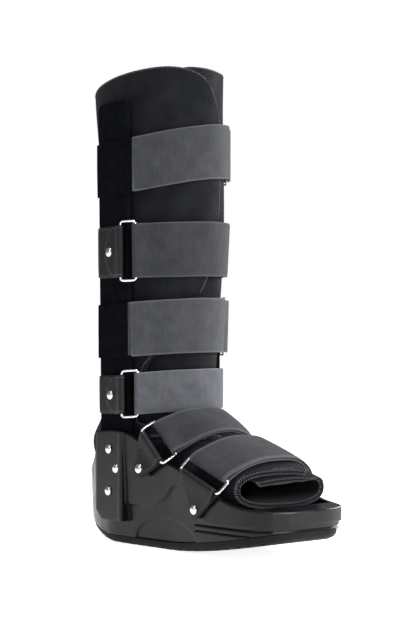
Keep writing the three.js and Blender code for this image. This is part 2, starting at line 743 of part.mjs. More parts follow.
// Fold round a bar from the lower layer to the upper one, opening towards +length.
function foldStops(bar, depth, radius, sign, steps = 5) {
  const stops = [];
  for (let i = 0; i <= steps; i++) {
    const turn = -Math.PI / 2 - sign * (Math.PI * i) / 5;
    stops.push({ s: bar, depth, turn, radius });
  }
  return stops;
}

// Strap from its fixed end to the ring and back over itself to its free end.
function strapStops(from, stopsBetween, bar, to) {
  const stops = [{ s: from, depth: lowerDepth }];
  stopsBetween.forEach((s) => stops.push({ s, depth: lowerDepth }));
  stops.push(...foldStops(bar, barDepth, foldRadius, 1));
  const settle = 14; // the upper layer comes down on the lower one over this
  for (const share of [0.35, 0.7, 1]) {
    const depth = lerp(barDepth + foldRadius, upperDepth, smoothstep(share, 0, 1));
    stops.push({ s: bar + settle * share, depth });
  }
  const back = [...stopsBetween].reverse().filter((s) => s > bar + settle + 3 && s < to - 3);
  back.forEach((s) => stops.push({ s, depth: upperDepth }));
  stops.push({ s: to, depth: upperDepth });
  return stops;
}

// Place of a stop in a strap's frame; the stops of a fold lie round its bar.
function stopPoint(track, { s, depth, turn, radius }) {
  const p = track.at(s, depth);
  if (turn === undefined) return p;
  const normal = track.at(s, depth + 1).sub(p);
  const along = new THREE.Vector2(normal.y, -normal.x);
  return p.addScaledVector(along, radius * Math.cos(turn)).addScaledVector(normal, radius * Math.sin(turn));
}

// A sheet through stops on each column's track, thick by thickness, lifted by a function of its place.
function ribbon(frame, columns, lift, thickness) {
  const [front, back] = [[], []];
  const paths = columns.map(({ track, stops }) => stops.map((stop) => stopPoint(track, stop)));
  paths[0].forEach((_, i) => {
    const rows = [[], []];
    paths.forEach((path, j) => {
      const before = path[Math.max(0, i - 1)];
      const after = path[Math.min(path.length - 1, i + 1)];
      const [into, away] = [path[i].clone().sub(before), after.clone().sub(path[i])];
      const along = into.clone().normalize().add(away.clone().normalize()).normalize();
      const first = into.lengthSq() > 0 ? into.normalize() : away.normalize();
      const spread = 1 / Math.max(0.7, Math.abs(along.dot(first)));
      const normal = new THREE.Vector2(-along.y, along.x).multiplyScalar((thickness / 2) * spread);
      [1, -1].forEach((sign, k) => {
        const p = path[i].clone().addScaledVector(normal, sign);
        const k2 = columns[j].offsets ? columns[j].offsets[i] : columns[j].offset;
        const world = frame.toWorld(p.x, p.y, k2);
        world.z += lift(world.x, world.y);
        rows[k].push(world);
      });
    });
    front.push(rows[0]);
    back.push(rows[1]);
  });
  return toManifold(slab(front, back));
}

// A bent wire ring through four corners in order, its wire centred on them.
function makeRing(name, corners) {
  const bend = 3.5;
  const sides = 6;
  const points = [];
  corners.forEach((corner, i) => {
    const before = corners[(i + 3) % 4].clone().sub(corner).normalize();
    const after = corners[(i + 1) % 4].clone().sub(corner).normalize();
    const from = corner.clone().addScaledVector(before, bend);
    const to = corner.clone().addScaledVector(after, bend);
    const curve = new THREE.QuadraticBezierCurve3(from, corner.clone(), to);
    points.push(...curve.getPoints(3));
  });
  const flat = corners[1].clone().sub(corners[0]).cross(corners[2].clone().sub(corners[1])).normalize();
  const loops = points.map((p, i) => {
    const before = points[(i + points.length - 1) % points.length];
    const after = points[(i + 1) % points.length];
    const along = after.clone().sub(before).normalize();
    const out = new THREE.Vector3().crossVectors(along, flat).normalize();
    return Array.from({ length: sides }, (_, k) => {
      const angle = (k * 2 * Math.PI) / sides;
      return p.clone()
        .addScaledVector(out, wireRadius * Math.cos(angle))
        .addScaledVector(flat, wireRadius * Math.sin(angle));
    });
  });
  const triangles = [];
  loops.forEach((_, i) => {
    const next = (i + 1) % loops.length;
    for (let j = 0; j < sides; j++) {
      const k = (j + 1) % sides;
      triangles.push(i * sides + j, i * sides + k, next * sides + k);
      triangles.push(i * sides + j, next * sides + k, next * sides + j);
    }
  });
  keep(name, toManifold(facingOut(indexed(loops.flat(), triangles))), finishes.steel);
}

// A rivet at a place, its axis along out: shank inwards by depth, head proud.
function makeRivet(name, place, out, depth, through) {
  const profile = [
    [0, rivetRise], [rivetHead * 0.5, rivetRise * 0.86], [rivetHead * 0.87, rivetRise * 0.5], [rivetHead, 0],
    [rivetShank, 0], [rivetShank, -depth], [0, -depth],
  ].map(([r, z]) => new THREE.Vector2(r, z));
  const turn = new THREE.Quaternion().setFromUnitVectors(new THREE.Vector3(0, 1, 0), out);
  const pose = new THREE.Matrix4().compose(place, turn, new THREE.Vector3(1, 1, 1));
  const rivet = new THREE.LatheGeometry(profile.reverse(), 10).applyMatrix4(pose);
  rivet.deleteAttribute("normal");
  rivet.deleteAttribute("uv");
  const drill = new THREE.CylinderGeometry(rivetShank + clearance, rivetShank + clearance, depth + 6, 10);
  drill.translate(0, -depth / 2 - 2, 0).applyMatrix4(pose);
  const hole = toManifold(drill);
  through.forEach((part) => {
    solids[part].solid = solids[part].solid.subtract(hole);
  });
  keep(name, toManifold(facingOut(mergeVertices(rivet, 1e-4))), finishes.steel);
}

const spaced = (from, to, count) => Array.from({ length: count }, (_, i) => lerp(from, to, i / (count - 1)));

// Full outline of the shaft at a height in a strap's frame, with the lap's step filled.
function shaftOutline(z, frame, lift) {
  const points = [];
  for (let degrees = -180; degrees < 180; degrees += 10) {
    let p = shaftPoint(0, rad(degrees), 0);
    const target = z + lift(p.x, p.y);
    const up = (target - seamHeight) / (shaftTop - seamHeight);
    if (up < 0) continue;
    p = shaftPoint(Math.min(1, up), rad(degrees), 0).sub(frame.origin);
    points.push([p.dot(frame.across), p.dot(frame.out)]);
  }
  return points;
}

function makeLegStrap({ number, ring, up, tilt, rise, width, end }) {
  const middle = lerp(seamHeight, shaftTop, up);
  const frame = new StrapFrame(new THREE.Vector3(0, 0, middle), -ring, new THREE.Vector3(0, -1, 0));
  const obstacles = ["liner_shaft", "liner_foot", "upright_right", "upright_left"];
  const offsets = [-width / 2, width / 2];
  const lift = (x, y) => tilt * x + rise * Math.max(0, -y);
  const tracks = frame.slices(obstacles, offsets, lift).map((points, j) => {
    const z = middle + ring * offsets[j];
    return new Track(overTop([...points, ...shaftOutline(z, frame, lift)]), -uprightWidth / 2);
  });
  const held = uprightWidth / 2 + ringAhead;
  const bar = held + ringSpan;
  const columns = tracks.map((track, j) => {
    const last = track.crossing(-uprightWidth / 2, -1);
    const corner = last - uprightWidth;
    const between = spaced(bar + 4, corner, 18).reverse();
    return { track, offset: offsets[j], stops: strapStops(last, between, bar, corner - end * width) };
  });
  keep(`strap_${number}`, ribbon(frame, columns, lift, strapThickness), finishes.strap);

  const ends = [tracks[0], tracks.at(-1)];
  const half = width / 2 + ringSide;
  const at = (track, s, depth, k) => {
    const p = track.at(s, depth);
    const world = frame.toWorld(p.x, p.y, k);
    world.z += lift(world.x, world.y);
    return world;
  };
  makeRing(`ring_${number}`, [
    at(ends[0], held, heldDepth, -half), at(ends[1], held, heldDepth, half),
    at(ends[1], bar, barDepth, half), at(ends[0], bar, barDepth, -half),
  ]);

  const rivetAt = uprightWidth / 2 - legRivet;
  const tabHalf = width / 2 - 1;
  const tail = rivetAt - tabTail;
  const fold = foldStops(held, heldDepth, tabFold, -1, 6);
  const upper = heldDepth + tabFold;
  const flatUpper = tabLower + tabThickness + clearance;
  const rounding = 13;
  const stops = [{ s: 0, depth: tabLower, half: tabHalf }, { s: rivetAt, depth: tabLower, half: tabHalf }];
  fold.forEach((stop) => stops.push({ ...stop, half: tabHalf }));
  stops.push({ s: held - 7, depth: lerp(upper, flatUpper, 0.75), half: tabHalf });
  stops.push({ s: held - 12, depth: flatUpper, half: tabHalf });
  for (const share of [0, 0.35, 0.65, 0.87, 1]) {
    const round = Math.sqrt(Math.max(0, 1 - share ** 2));
    const s = lerp(tail + rounding, tail, share);
    stops.push({ s, depth: flatUpper, half: Math.max(8, tabHalf * round) });
  }
  const tab = [0, 1].map((k) => ({
    track: ends[k], stops, offsets: stops.map((stop) => (k ? stop.half : -stop.half)),
  }));
  keep(`tab_${number}`, ribbon(frame, tab, lift, tabThickness), finishes.tab);

  const seat = ends.map((track) => at(track, rivetAt, flatUpper + tabThickness / 2 + clearance, 0))
    .reduce((p, q) => p.add(q)).multiplyScalar(0.5);
  const out = new THREE.Vector3(ring, 0, 0);
  const depth = flatUpper + tabThickness / 2 + clearance + uprightThickness;
  const through = [`tab_${number}`, ring > 0 ? "upright_left" : "upright_right"];
  makeRivet(`rivet_tab_${number}`, seat, out, depth, through);
}

function makeFootStrap({ number, along, up, lean, width }) {
  const angle = rad(lean);
  const out = new THREE.Vector3(0, -Math.sin(angle), Math.cos(angle));
  const origin = new THREE.Vector3(0, -along * soleLength, up * socketTop);
  const frame = new StrapFrame(origin, 1, out);
  const offsets = spaced(-width / 2, width / 2, 4);
  const slices = frame.slices(["shell", "liner_foot", "liner_shaft"], offsets, () => 0);
  const shared = new Track(overTop(slices.flat()), 0);
  const tracks = slices.map((points, j) => {
    const near = [...(slices[j - 1] ?? []), ...points, ...(slices[j + 1] ?? [])];
    return new BlendTrack(new Track(overTop(near), 0), shared);
  });
  const bar = ringSpan;
  const tailLength = footRivet + tabTail;
  const columns = tracks.map((track, j) => {
    const over = track.over;
    const last = over + tailLength;
    const between = [
      ...[21, 13, 9, 6, 3].map((past) => over + past), ...spaced(bar + 4, over, 13).reverse(),
    ];
    return { track, offset: offsets[j], stops: strapStops(last, between, bar, over - 8) };
  });
  const lift = () => 0;
  keep(`strap_${number}`, ribbon(frame, columns, lift, strapThickness), finishes.strap);

  const half = width / 2 + ringSide;
  const at = (s, depth, k) => {
    const p = lifted(shared).at(s, depth);
    return frame.toWorld(p.x, p.y, k);
  };
  makeRing(`ring_${number}`, [
    at(0, heldDepth, -half), at(0, heldDepth, half), at(bar, barDepth, half), at(bar, barDepth, -half),
  ]);

  const tabHalf = width / 2 - 1;
  const tabNose = 8; // half width where the tab rounds off
  const flatUpper = tabLower + tabThickness + clearance;
  const upper = heldDepth + tabFold;
  const shape = (s) => {
    const share = Math.min(1, Math.max(0, (-s - 4) / (footRivet - 4)));
    const past = Math.min(1, Math.max(0, (-s - footRivet) / tabTail));
    return {
      half: lerp(tabHalf, tabNose, share) * Math.sqrt(1 - 0.86 * past ** 2),
      middle: footRivetAhead * share,
    };
  };
  const down = [tailLength, tailLength - 1.5, tailLength - 4, footRivet, 4].map((s) => -s);
  const stops = [
    ...down.map((s) => ({ s, depth: tabLower })),
    ...foldStops(0, heldDepth, tabFold, -1, 6),
    { s: -7, depth: lerp(upper, flatUpper, 0.75) },
    { s: -12, depth: flatUpper },
    ...down.slice(0, 4).reverse().map((s) => ({ s, depth: flatUpper })),
  ];
  const tab = [-1, 1].map((sign) => ({
    track: lifted(shared), stops, offsets: stops.map(({ s }) => shape(s).middle + sign * shape(s).half),
  }));
  keep(`tab_${number}`, ribbon(frame, tab, lift, tabThickness), finishes.tab);

  const wall = shellWall + reliefStep;
  const fasten = (name, s, seat, k, part) => {
    const place = at(s, seat, k);
    const out = at(s, seat + 1, k).sub(place).normalize();
    makeRivet(name, place, out, seat + wall - 0.3, [part, "shell"]);
  };
  const tabSeat = flatUpper + tabThickness / 2 + clearance;
  fasten(`rivet_tab_${number}`, -footRivet, tabSeat, footRivetAhead, `tab_${number}`);
  const sharedOver = shared.crossing(0, -1);
  fasten(`rivet_strap_${number}`, sharedOver + footRivet, lowerDepth + strapThickness / 2 + clearance, 0,
    `strap_${number}`);
}

function makeSocketRivets(side, part, label) {
  const ridgeInner = alongToY(wingRows[0].along) + ridgeWidth;
  socketRivets.forEach(({ behind, up }, i) => {
    const [y, z] = [ridgeInner + behind, upToZ(up)];
    const seat = socketReach + clearance;
    const place = new THREE.Vector3(side * seat, y, z);
    const depth = seat - uprightInner(z);
    makeRivet(`rivet_socket_${label}_${i + 1}`, place, new THREE.Vector3(side, 0, 0), depth, ["shell", part]);
  });
}

makeShell();
makeTread();
makeUpright(-1, "upright_right");
makeUpright(1, "upright_left");
makeShaft();
makeFoot();
footStraps.forEach(makeFootStrap);
legStraps.forEach(makeLegStrap);
makeSocketRivets(-1, "upright_right", "right");
makeSocketRivets(1, "upright_left", "left");

for (const [name, { solid, finish }] of Object.entries(solids)) {
  const mesh = new THREE.Mesh(fromManifold(solid), finish.clone());
  mesh.name = name;
  boot.add(mesh);
}

export default boot;
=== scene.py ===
import math

import bmesh
import bpy
from mathutils import Matrix, Vector, noise
from mathutils.bvhtree import BVHTree


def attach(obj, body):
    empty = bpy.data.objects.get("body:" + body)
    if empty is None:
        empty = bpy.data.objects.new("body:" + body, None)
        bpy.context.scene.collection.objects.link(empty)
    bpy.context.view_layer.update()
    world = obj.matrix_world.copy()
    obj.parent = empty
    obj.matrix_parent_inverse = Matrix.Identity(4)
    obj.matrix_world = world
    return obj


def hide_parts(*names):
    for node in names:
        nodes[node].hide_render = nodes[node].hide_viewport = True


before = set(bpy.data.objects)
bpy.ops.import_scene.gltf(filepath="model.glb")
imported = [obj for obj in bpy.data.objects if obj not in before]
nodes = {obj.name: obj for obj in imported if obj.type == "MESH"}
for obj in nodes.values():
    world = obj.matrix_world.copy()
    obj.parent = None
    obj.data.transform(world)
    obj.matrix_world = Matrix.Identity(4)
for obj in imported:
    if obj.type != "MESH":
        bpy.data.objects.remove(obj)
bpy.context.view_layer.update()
print("frame loaded:", len(nodes), "nodes")

mm = 0.001

camera = {
    "place": (-0.8863, -1.1230, 0.180),
    "heading": 40.0,  # degrees from +Y towards +X
    "lens": 87.4,
    "sensor": 36.0,
    "shiftY": 0.0663,
    "farthest": 60.0,
}

lights = {
    "front": {"place": (0.5, -1.9, 0.9), "aim": (0.0, -0.05, 0.2), "size": 0.9, "power": 36},
    "side": {"place": (-1.9, 0.1, 0.9), "aim": (-0.02, -0.03, 0.2), "size": 0.8, "power": 5},
    "toe": {"place": (0.75, -2.0, 0.32), "aim": (0.0, -0.15, 0.06), "size": 0.5, "power": 18},
    "corner": {"place": (-1.9, -1.9, 0.45), "aim": (-0.05, 0.0, 0.1), "size": 0.22, "power": 14},
    "top": {"place": (-0.3, -0.3, 2.2), "aim": (0.0, -0.05, 0.2), "size": 1.2, "power": 40},
    "far": {"place": (1.7, -0.3, 0.8), "aim": (0.0, -0.05, 0.2), "size": 0.8, "power": 40},
}

stage = {
    "floorColour": "#d8d8d8",
    "floorGlow": 0.86,
    "floorRoughness": 0.9,
    "floorShine": 0.1,
    "floorSize": 60.0,
    "skyStrength": 1.0,
    "roomStrength": 0.22,
}


def toLinear(hexColour):
    values = [int(hexColour[i : i + 2], 16) / 255 for i in (1, 3, 5)]
    return [v / 12.92 if v <= 0.04045 else ((v + 0.055) / 1.055) ** 2.4 for v in values] + [1.0]


def addNode(tree, kind, settings=None, links=None, **values):
    node = tree.nodes.new("ShaderNode" + kind)
    for name, value in (settings or {}).items():
        setattr(node, name, value)
    for name, value in values.items():
        node.inputs[name.replace("_", " ")].default_value = value
    for socket, source in (links or {}).items():
        tree.links.new(source, node.inputs[socket])
    return node


def newMaterial(name):
    material = bpy.data.materials.new(name)
    material.use_nodes = True
    tree = material.node_tree
    tree.nodes.clear()
    return material, tree


def finishMaterial(tree, shader):
    out = tree.nodes.new("ShaderNodeOutputMaterial")
    tree.links.new(shader.outputs["BSDF"], out.inputs["Surface"])


# Camera and light
def setUpCamera():
    data = bpy.data.cameras.new("camera")
    data.sensor_fit = "VERTICAL"
    data.sensor_height = camera["sensor"]
    data.lens = camera["lens"]
    data.shift_y = camera["shiftY"]
    data.clip_end = camera["farthest"]
    data.dof.use_dof = False
    eye = bpy.data.objects.new("camera", data)
    eye.location = camera["place"]
    eye.rotation_euler = (math.radians(90), 0, -math.radians(camera["heading"]))
    bpy.context.scene.collection.objects.link(eye)
    bpy.context.scene.camera = eye


def setUpLights():
    for name, row in lights.items():
        data = bpy.data.lights.new(name, "AREA")
        data.shape = "DISK"
        data.size = row["size"]
        data.energy = row["power"]
        lamp = bpy.data.objects.new(name, data)
        lamp.location = row["place"]
        aim = Vector(row["aim"]) - Vector(row["place"])
        lamp.rotation_euler = aim.to_track_quat("-Z", "Y").to_euler()
        bpy.context.scene.collection.objects.link(lamp)


def setUpStage():
    bm = bmesh.new()
    bmesh.ops.create_grid(bm, x_segments=1, y_segments=1, size=stage["floorSize"] / 2)
    mesh = bpy.data.meshes.new("floor")
    bm.to_mesh(mesh)
    bm.free()
    floor = bpy.data.objects.new("floor", mesh)
    bpy.context.scene.collection.objects.link(floor)
    # A light table: white acrylic, lit from below, so that only a trace of shadow is left on it.
    acrylic, tree = newMaterial("litAcrylic")
    shader = addNode(tree, "BsdfPrincipled", Base_Color=toLinear(stage["floorColour"]),
                     Roughness=stage["floorRoughness"], Specular_IOR_Level=stage["floorShine"],
                     Emission_Color=(1, 1, 1, 1), Emission_Strength=stage["floorGlow"])
    finishMaterial(tree, shader)
    mesh.materials.append(acrylic)
    world = bpy.data.worlds.new("studio")
    world.use_nodes = True
    background = world.node_tree.nodes["Background"]
    background.inputs["Color"].default_value = (1, 1, 1, 1)
    # The backdrop is white to the eye, and the room round the boot is dim.
    path = addNode(world.node_tree, "LightPath")
    seen = addNode(world.node_tree, "MapRange", links={"Value": path.outputs["Is Camera Ray"]})
    seen.inputs["To Min"].default_value = stage["roomStrength"]
    seen.inputs["To Max"].default_value = stage["skyStrength"]
    world.node_tree.links.new(seen.outputs["Result"], background.inputs["Strength"])
    bpy.context.scene.world = world
    bpy.context.scene.view_settings.view_transform = "Standard"


setUpCamera()
setUpLights()
setUpStage()
print("camera, lights and floor")

# Finishes: near-black plastic and cloth, told apart by their gloss, and bright metal. Sizes are in
# millimetres: cloud is how wide the slow changes of shade are, lift how deep the fine relief goes.
# Relief is its strength, and duller and brighter are how far the roughness strays to each side.
finishes = {
    "shell": {
        "colour": "#08090a", "worn": "#0e0f11", "roughness": 0.27, "brighter": 0.06, "duller": 0.08,
        "shine": 0.2, "corner": 2.6, "grain": 0.7, "cloud": 30.0, "relief": 0.2, "lift": 0.12,
    },
    "tread": {
        "colour": "#060707", "worn": "#0b0c0d", "roughness": 0.62, "brighter": 0.06, "duller": 0.08,
        "shine": 0.12, "corner": 0.8, "grain": 0.9, "cloud": 20.0, "relief": 0.2, "lift": 0.3,
    },
    "liner": {
        "colour": "#0c0d0f", "light": "#15161a", "roughness": 0.9, "shine": 0.08, "sheen": 0.02,
        "dimple": 1.5, "turn": 45, "fuzz": 0.5, "cloud": 22.0, "relief": 0.5, "lift": 0.25,
    },
    # For the strap, the edge colour is a painted highlight on its edges.
    "strap": {
        "colour": "#303134", "light": "#3b3c40", "edge": "#505155", "roughness": 0.85, "shine": 0.08,
        "sheen": 0.04, "fibre": 0.7, "streak": 0.3, "patch": 2.6, "patchShare": 0.3, "paintedHighlightFrom": 0.88,
        "cloud": 14.0, "relief": 0.6, "lift": 0.35,
    },
    "loop": {
        "colour": "#050609", "light": "#0b0c10", "roughness": 1.0, "shine": 0.03,
        "pile": 0.8, "cloud": 9.0, "relief": 0.7, "lift": 0.4,
    },
    "tab": {
        "colour": "#0c0d0f", "light": "#131418", "roughness": 0.55, "shine": 0.2,
        "pile": 1.0, "cloud": 12.0, "relief": 0.35, "lift": 0.4,
    },
    "thread": {
        "colour": "#4a4b50", "roughness": 0.7, "shine": 0.4, "twist": 0.4, "relief": 0.4, "lift": 0.15,
    },
    "steel": {"colour": "#d5d6d8", "roughness": 0.2, "brighter": 0.08, "duller": 0.12, "grain": 0.6},
}


def clouded(tree, place, row, second, dark=0.35, bright=0.65):
    # Slow change between two shades, as wear, lint or handling leaves it.
    slow = addNode(tree, "TexNoise", Scale=1 / (row["cloud"] * mm), Detail=4.0, Roughness=0.6,
                   links={"Vector": place})
    ramp = addNode(tree, "ValToRGB", links={"Fac": slow.outputs["Fac"]})
    ramp.color_ramp.elements[0].position = dark
    ramp.color_ramp.elements[1].position = bright
    ramp.color_ramp.elements[0].color = toLinear(row["colour"])
    ramp.color_ramp.elements[1].color = toLinear(row[second])
    return ramp.outputs["Color"]


# Moulded polypropylene and rubber: satin to matt black with a fine grain, rounded corners that catch the
# light, and a paler shade where they are rubbed.
def mouldedShell(name, row):
    material, tree = newMaterial(name)
    place = addNode(tree, "TexCoord").outputs["Object"]
    grain = addNode(tree, "TexNoise", Scale=1 / (row["grain"] * mm), Detail=2.0, links={"Vector": place})
    rounded = addNode(tree, "Bevel", {"samples": 8}, Radius=row["corner"] * mm)
    lift = addNode(tree, "Bump", Strength=row["relief"], Distance=row["lift"] * mm,
                   links={"Height": grain.outputs["Fac"], "Normal": rounded.outputs["Normal"]})
    slow = addNode(tree, "TexNoise", Scale=1 / (row["cloud"] * 0.5 * mm), Detail=5.0,
                   links={"Vector": place})
    gloss = addNode(tree, "MapRange", links={"Value": slow.outputs["Fac"]})
    gloss.inputs["From Min"].default_value = 0.3
    gloss.inputs["From Max"].default_value = 0.7
    gloss.inputs["To Min"].default_value = row["roughness"] - row["brighter"]
    gloss.inputs["To Max"].default_value = row["roughness"] + row["duller"]
    shader = addNode(tree, "BsdfPrincipled", Specular_IOR_Level=row["shine"], links={
        "Base Color": clouded(tree, place, row, "worn"),
        "Roughness": gloss.outputs["Result"],
        "Normal": lift.outputs["Normal"],
    })
    finishMaterial(tree, shader)
    return material


# Knit laminated on foam: matt, with rows of small dimples set on the diagonal.
def dimpledKnit(name, row):
    material, tree = newMaterial(name)
    place = addNode(tree, "TexCoord").outputs["Object"]
    cloth = addNode(tree, "UVMap", {"uv_map": "cloth"})
    turned = addNode(tree, "VectorRotate", {"rotation_type": "Z_AXIS"}, Angle=math.radians(row["turn"]),
                     links={"Vector": cloth.outputs["UV"]})
    parts = addNode(tree, "SeparateXYZ", links={"Vector": turned.outputs["Vector"]})
    waves = []
    for axis in ("X", "Y"):
        angle = addNode(tree, "Math", {"operation": "MULTIPLY"}, links={0: parts.outputs[axis]})
        angle.inputs[1].default_value = math.pi / (row["dimple"] * mm)
        waves.append(addNode(tree, "Math", {"operation": "SINE"}, links={0: angle.outputs["Value"]}))
    dimples = addNode(tree, "Math", {"operation": "MULTIPLY"},
                      links={0: waves[0].outputs["Value"], 1: waves[1].outputs["Value"]})
    fuzz = addNode(tree, "TexNoise", Scale=1 / (row["fuzz"] * mm), Detail=2.0, links={"Vector": place})
    height = addNode(tree, "Math", {"operation": "ADD"},
                     links={0: dimples.outputs["Value"], 1: fuzz.outputs["Fac"]})
    lift = addNode(tree, "Bump", Strength=row["relief"], Distance=row["lift"] * mm,
                   links={"Height": height.outputs["Value"]})
    shader = addNode(tree, "BsdfPrincipled", Roughness=row["roughness"], Specular_IOR_Level=row["shine"],
                     Sheen_Weight=row["sheen"], Sheen_Roughness=0.5, links={
                         "Base Color": clouded(tree, place, row, "light"),
                         "Normal": lift.outputs["Normal"],
                     })
    finishMaterial(tree, shader)
    return material


# Brushed nylon loop on webbing: mottled grey nap, streaked across the strap, with a paler colour along its
# edges, which is a painted highlight where the edges catch the light.
def brushedWebbing(name, row):
    material, tree = newMaterial(name)
    place = addNode(tree, "TexCoord").outputs["Object"]
    streak = addNode(tree, "Mapping", Scale=(1.0, 1.0, row["streak"]), links={"Vector": place})
    nap = addNode(tree, "TexNoise", Scale=1 / (row["fibre"] * mm), Detail=3.0, Roughness=0.7,
                  links={"Vector": streak.outputs["Vector"]})
    patch = addNode(tree, "TexNoise", Scale=1 / (row["patch"] * mm), Detail=3.0,
                    links={"Vector": streak.outputs["Vector"]})
    slow = clouded(tree, place, row, "light", 0.3, 0.7)
    mottled = addNode(tree, "Mix", {"data_type": "RGBA", "blend_type": "OVERLAY"},
                      links={"A": slow, "B": patch.outputs["Color"]})
    mottled.inputs["Factor"].default_value = row["patchShare"]
    # Paler towards the edges of the strap: a painted highlight where they catch the light.
    edge = addNode(tree, "Attribute", {"attribute_name": "rim"})
    edgeHighlight = addNode(tree, "MapRange", links={"Value": edge.outputs["Fac"]})
    edgeHighlight.inputs["From Min"].default_value = row["paintedHighlightFrom"]
    edgeHighlight.inputs["From Max"].default_value = 1.0
    withEdgeHighlight = addNode(tree, "Mix", {"data_type": "RGBA"},
                       links={"Factor": edgeHighlight.outputs["Result"], "A": mottled.outputs["Result"]})
    withEdgeHighlight.inputs["B"].default_value = toLinear(row["edge"])
    # The strap's colour is scaled by its tone: painted light and shade.
    paintedLightShade = addNode(tree, "Attribute", {"attribute_name": "paintedLightShade"})
    lightShadedColour = addNode(tree, "VectorMath", {"operation": "MULTIPLY"},
                    links={0: withEdgeHighlight.outputs["Result"], 1: paintedLightShade.outputs["Vector"]})
    both = addNode(tree, "Math", {"operation": "ADD"},
                   links={0: nap.outputs["Fac"], 1: patch.outputs["Fac"]})
    lift = addNode(tree, "Bump", Strength=row["relief"], Distance=row["lift"] * mm,
                   links={"Height": both.outputs["Value"]})
    shader = addNode(tree, "BsdfPrincipled", Roughness=row["roughness"], Specular_IOR_Level=row["shine"],
                     Sheen_Weight=row["sheen"], Sheen_Roughness=0.6,
                     links={"Base Color": lightShadedColour.outputs["Vector"], "Normal": lift.outputs["Normal"]})
    finishMaterial(tree, shader)
    return material


# Loop pile or coated webbing: a deep matt fleece or a tight glossier weave, each over two close shades.
def piled(name, row):
    material, tree = newMaterial(name)
    place = addNode(tree, "TexCoord").outputs["Object"]
    pile = addNode(tree, "TexVoronoi", Scale=1 / (row["pile"] * mm), links={"Vector": place})
    lift = addNode(tree, "Bump", Strength=row["relief"], Distance=row["lift"] * mm,
                   links={"Height": pile.outputs["Distance"]})
    shader = addNode(tree, "BsdfPrincipled", Roughness=row["roughness"], Specular_IOR_Level=row["shine"],
                     links={
                         "Base Color": clouded(tree, place, row, "light"),
                         "Normal": lift.outputs["Normal"],
                     })
    finishMaterial(tree, shader)
    return material


# Twisted polyester sewing thread: greyer and a little glossier than the cloth it holds.
def sewingThread(name, row):
    material, tree = newMaterial(name)
    place = addNode(tree, "TexCoord").outputs["Object"]
    twist = addNode(tree, "TexNoise", Scale=1 / (row["twist"] * mm), Detail=1.0, links={"Vector": place})
    lift = addNode(tree, "Bump", Strength=row["relief"], Distance=row["lift"] * mm,
                   links={"Height": twist.outputs["Fac"]})
    shader = addNode(tree, "BsdfPrincipled", Base_Color=toLinear(row["colour"]), Roughness=row["roughness"],
                     Specular_IOR_Level=row["shine"], links={"Normal": lift.outputs["Normal"]})
    finishMaterial(tree, shader)
    return material


# Nickel-plated steel, tumbled: bright, with faint soft scratches in its gloss.
def platedSteel(name, row):
    material, tree = newMaterial(name)
    place = addNode(tree, "TexCoord").outputs["Object"]
    fine = addNode(tree, "TexNoise", Scale=1 / (row["grain"] * mm), Detail=4.0, links={"Vector": place})
    gloss = addNode(tree, "MapRange", links={"Value": fine.outputs["Fac"]})
    gloss.inputs["To Min"].default_value = row["roughness"] - row["brighter"]
    gloss.inputs["To Max"].default_value = row["roughness"] + row["duller"]
    shader = addNode(tree, "BsdfPrincipled", Base_Color=toLinear(row["colour"]), Metallic=1.0,
                     links={"Roughness": gloss.outputs["Result"]})
    finishMaterial(tree, shader)
    return material


materials = {
    "shell": mouldedShell("mouldedPolypropylene", finishes["shell"]),
    "tread": mouldedShell("mouldedRubber", finishes["tread"]),
    "liner": dimpledKnit("dimpledKnitOnFoam", finishes["liner"]),
    "strap": brushedWebbing("brushedNylonWebbing", finishes["strap"]),
    "loop": piled("loopPile", finishes["loop"]),
    "tab": piled("coatedWebbing", finishes["tab"]),
    "thread": sewingThread("polyesterThread", finishes["thread"]),
    "steel": platedSteel("nickelPlatedSteel", finishes["steel"]),
}
print("materials")


# Making pieces from the frame's solids. Angles are in degrees, lengths in millimetres.
meshing = {"weld": 0.02, "quadSkew": 60, "flat": 1.5, "flatWeight": 50, "webBend": 30, "webEdge": 60}


def openCopy(node):
    bm = bmesh.new()
    bm.from_mesh(nodes[node].data)
    bmesh.ops.remove_doubles(bm, verts=bm.verts, dist=meshing["weld"] * mm)
    return bm


def joinTriangles(bm, angle):
    bmesh.ops.join_triangles(bm, faces=bm.faces, angle_face_threshold=math.radians(angle),
                             angle_shape_threshold=math.radians(meshing["quadSkew"]), cmp_seam=False,
                             cmp_sharp=False, cmp_uvs=False, cmp_vcols=False, cmp_materials=False)


def joinFlats(bm):
    bmesh.ops.dissolve_limit(bm, angle_limit=math.radians(meshing["flat"]), verts=bm.verts, edges=bm.edges)


def sharpEdges(bm, angle):
    limit = math.radians(angle)
    return [e for e in bm.edges if len(e.link_faces) == 2 and e.calc_face_angle(0) > limit]


def roundEdges(bm, edges, radius, segments=2):
    bmesh.ops.bevel(bm, geom=edges, offset=radius, offset_type="OFFSET", segments=segments, profile=0.5,
                    affect="EDGES", clamp_overlap=True, material=-1)


def mapCloth(mesh):
    # Each face is laid out flat, in metres, on the plane of the two axes that it faces least.
    layer = mesh.uv_layers.new(name="cloth")
    axes = {0: (1, 2), 1: (0, 2), 2: (0, 1)}
    for polygon in mesh.polygons:
        normal = polygon.normal
        a, b = axes[max(range(3), key=lambda i: abs(normal[i]))]
        for corner in polygon.loop_indices:
            point = mesh.vertices[mesh.loops[corner].vertex_index].co
            layer.data[corner].uv = (point[a], point[b])


def finishPiece(bm, name, replaced, slotName, rounds=0):
    bmesh.ops.recalc_face_normals(bm, faces=bm.faces)
    mesh = bpy.data.meshes.new(name)
    bm.to_mesh(mesh)
    bm.free()
    mesh.shade_smooth()
    piece = bpy.data.objects.new(name, mesh)
    bpy.context.scene.collection.objects.link(piece)
    mesh.materials.append(materials[slotName])
    if slotName == "liner":
        mapCloth(mesh)
    if rounds:
        soft = piece.modifiers.new("round", "SUBSURF")
        soft.levels = soft.render_levels = rounds
    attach(piece, "root")
    if replaced:
        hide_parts(*replaced)
    return piece


